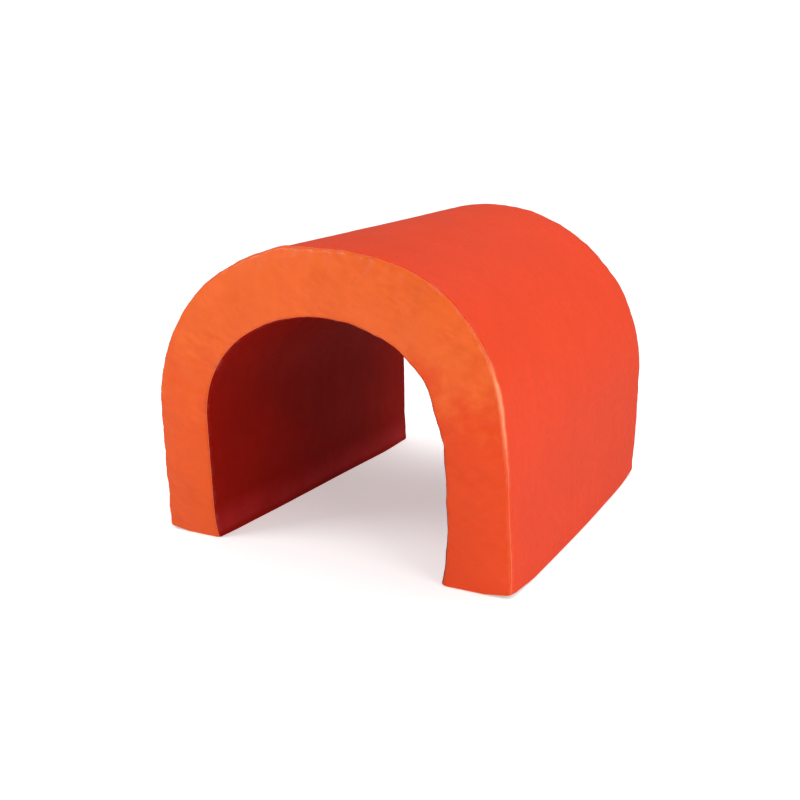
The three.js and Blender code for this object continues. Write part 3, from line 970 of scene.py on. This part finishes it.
def woven_tape():
    s = Shader("woven_tape", 0.2)
    twill = s.wave(900, 0.3, "DIAGONAL")
    s.set("Base Color", s.mix(twill, srgb(58, 20, 17), srgb(84, 30, 25)))
    s.set("Roughness", s.ramp(s.noise(500, 2), 0.3, 0.7, 0.75, 0.92))
    s.set("Normal", s.bump(s.wave(1100, 0.2, "Y"), 0.4, 0.0002, s.bump(twill, 0.5, 0.0002)))
    return s.material


def nylon():
    s = Shader("wound_nylon", 0.5)
    s.set("Base Color", s.mix(s.noise(200, 3), srgb(80, 24, 20), srgb(102, 34, 28)))
    s.set("Roughness", s.ramp(s.noise(600, 2), 0.3, 0.7, 0.3, 0.5))
    s.set("Normal", s.bump(s.noise(900, 2), 0.15, 0.0001))
    return s.material


def cast_zinc():
    """Tumbled die-cast metal: soft pitting, fine scratches and a duller tone in patches."""
    s = Shader("cast_zinc")
    s.set("Metallic", 1.0)
    s.set("Base Color", s.mix(s.noise(300, 4), srgb(186, 188, 192), srgb(214, 215, 217)))
    s.set("Roughness", s.ramp(s.noise(500, 3), 0.3, 0.7, 0.24, 0.44))
    scratches = s.bump(s.noise(900, 2, 0.5, (1, 0.08, 1)), 0.2, 0.0001)
    s.set("Normal", s.bump(s.cells(1500), 0.12, 0.0001, scratches))
    return s.material


ORANGE = srgb(228, 96, 32)
RED = srgb(217, 61, 22)
MAROON = srgb(136, 15, 5)
# Its tone for the lower legs is painted shade.
orange_vinyl = vinyl("orange_vinyl", ORANGE, painted_shade_tone=srgb(220, 66, 12))
red_vinyl = vinyl("red_orange_vinyl", RED, spread=0.03)
# Its band tone just over the floor is painted light from the floor.
maroon_vinyl = vinyl(
    "deep_red_vinyl", MAROON, rough=(0.46, 0.6), specular=0.03, spread=0.07, painted_bounce_tone=srgb(178, 44, 50)
)


# ---- Bodies: each piece takes its material, joins the tunnel's body and hides the CAD node it was built for ----
def place(obj, material, slot, node):
    obj.data.materials.append(material)
    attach(obj, "tunnel")
    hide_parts(node)


END_AREA = 0.262  # sq m of a horseshoe and its turned-in edges, set from the measured mesh
for obj, material, slot, node, flat, area in (
    (outer_wrap, red_vinyl, "wrap_vinyl", "outer_wrap", (LENGTH, OUTER.length), None),
    (inner_lining, maroon_vinyl, "lining_vinyl", "inner_lining", (LENGTH, INNER.length), None),
    (front_end, orange_vinyl, "end_vinyl", "front_end_panel", (WIDTH, HEIGHT), END_AREA),
    (rear_end, orange_vinyl, "end_vinyl", "rear_end_panel", (WIDTH, HEIGHT), END_AREA),
):
    thicken(obj, CLOTH)
    place(obj, material, slot, node)

foam_material, edge_material, base_material = cut_foam(), stitched_edge(), nonslip()
for node, obj in foam.items():
    place(obj, foam_material, "foam", node)
for node, obj in seams.items():
    place(obj, edge_material, "seam_thread", node)
for node, obj in base_sheets.items():
    place(obj, base_material, "base_sheet", node)

tape_material, coil_material, metal = woven_tape(), nylon(), cast_zinc()
for node, obj in zips.items():
    if "tape" in node:
        place(obj, tape_material, "zip_tape", node)
        low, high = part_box(node)
        flat = (high.x - low.x, high.y - low.y + TAPE_TAIL)
    else:
        place(obj, coil_material, "zip_coil", node)
for side in ("left", "right"):
    for part in ("zip_stop_front", "zip_stop_rear", "zip_slider", "zip_pull"):
        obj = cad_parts[f"{side}_{part}"]
        obj.data.materials.clear()
        obj.data.materials.append(metal)


# ---- Stage, light and camera ----
def stage():
    bpy.ops.mesh.primitive_plane_add(size=60, location=(0, 0, -0.0005))
    floor = bpy.context.object
    floor.name = "floor"
    floor.visible_glossy = False
    s = Shader("pale_floor", 0.1)
    s.set("Base Color", s.mix(s.noise(3, 2), (0.9, 0.9, 0.9), (0.92, 0.92, 0.92)))
    s.set("Roughness", 0.9)
    s.set("Emission Color", (1, 1, 1, 1))
    away = s.node("ShaderNodeVectorMath")
    away.operation = "LENGTH"
    s.join(s.where, away.inputs[0])
    s.set("Emission Strength", s.ramp(away.outputs["Value"], 1.2, 4.5, 0.42, 0.7))
    floor.data.materials.append(s.material)
    floor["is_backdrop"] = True


def area_light(name, at, aim, size, power, in_gloss=True):
    light = bpy.data.lights.new(name, "AREA")
    light.shape, light.energy = "RECTANGLE", power
    light.size, light.size_y = size
    obj = bpy.data.objects.new(name, light)
    obj.location = at
    obj.rotation_euler = (Vector(aim) - Vector(at)).to_track_quat("-Z", "Y").to_euler()
    obj.visible_glossy = in_gloss
    bpy.context.scene.collection.objects.link(obj)


AMBIENT, GLOSSY, BACKDROP = 0.5, 0.2, 1.1  # the room in soft light, in gloss and behind the object


def lights():
    world = bpy.data.worlds.new("studio")
    world.use_nodes = True
    world.cycles.sampling_method = "NONE"
    tree = world.node_tree
    background, rays, strength = tree.nodes["Background"], tree.nodes.new("ShaderNodeLightPath"), None
    background.inputs["Color"].default_value = (1, 1, 1, 1)
    for ray, change in (("Is Glossy Ray", GLOSSY - AMBIENT), ("Is Camera Ray", BACKDROP - AMBIENT)):
        add = tree.nodes.new("ShaderNodeMath")
        add.operation = "MULTIPLY_ADD"
        add.inputs[1].default_value, add.inputs[2].default_value = change, AMBIENT
        tree.links.new(rays.outputs[ray], add.inputs[0])
        if strength:
            tree.links.new(strength, add.inputs[2])
        strength = add.outputs[0]
    tree.links.new(strength, background.inputs["Strength"])
    bpy.context.scene.world = world
    area_light("key", (-1.7, -1.7, 2.1), (0, 0, 0.35), (1.2, 1.2), 30)
    area_light("top", (0.8, 0.9, 3.0), (0.1, 0.2, 0.5), (2, 2), 45, in_gloss=False)
    area_light("side", (2.9, -1.7, 1.2), (0.4, -0.3, 0.35), (1.4, 2.2), 34)
    area_light("far_side", (3.0, 1.6, 1.6), (0.3, 0.2, 0.3), (1.6, 1.6), 16, in_gloss=False)


AZIMUTH, ELEVATION, ROLL = math.radians(28.05), math.radians(14.03), math.radians(-0.14)
DISTANCE = 3.03 * WIDTH
AIM = Vector((-0.0646, 0, 0.2953)) * WIDTH
SENSOR = 36
LENS = 46.37


def camera():
    data = bpy.data.cameras.new("camera")
    data.sensor_width, data.lens = SENSOR, LENS
    obj = bpy.data.objects.new("camera", data)
    level = math.cos(ELEVATION)
    back = Vector((math.sin(AZIMUTH) * level, -math.cos(AZIMUTH) * level, math.sin(ELEVATION)))
    obj.location = AIM + back * DISTANCE
    turn = Quaternion(back, ROLL) @ (-back).to_track_quat("-Z", "Y")
    obj.rotation_euler = turn.to_euler()
    bpy.context.scene.collection.objects.link(obj)
    bpy.context.scene.camera = obj


stage()
lights()
camera()
bpy.context.scene.view_settings.view_transform = "Standard"

low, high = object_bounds()
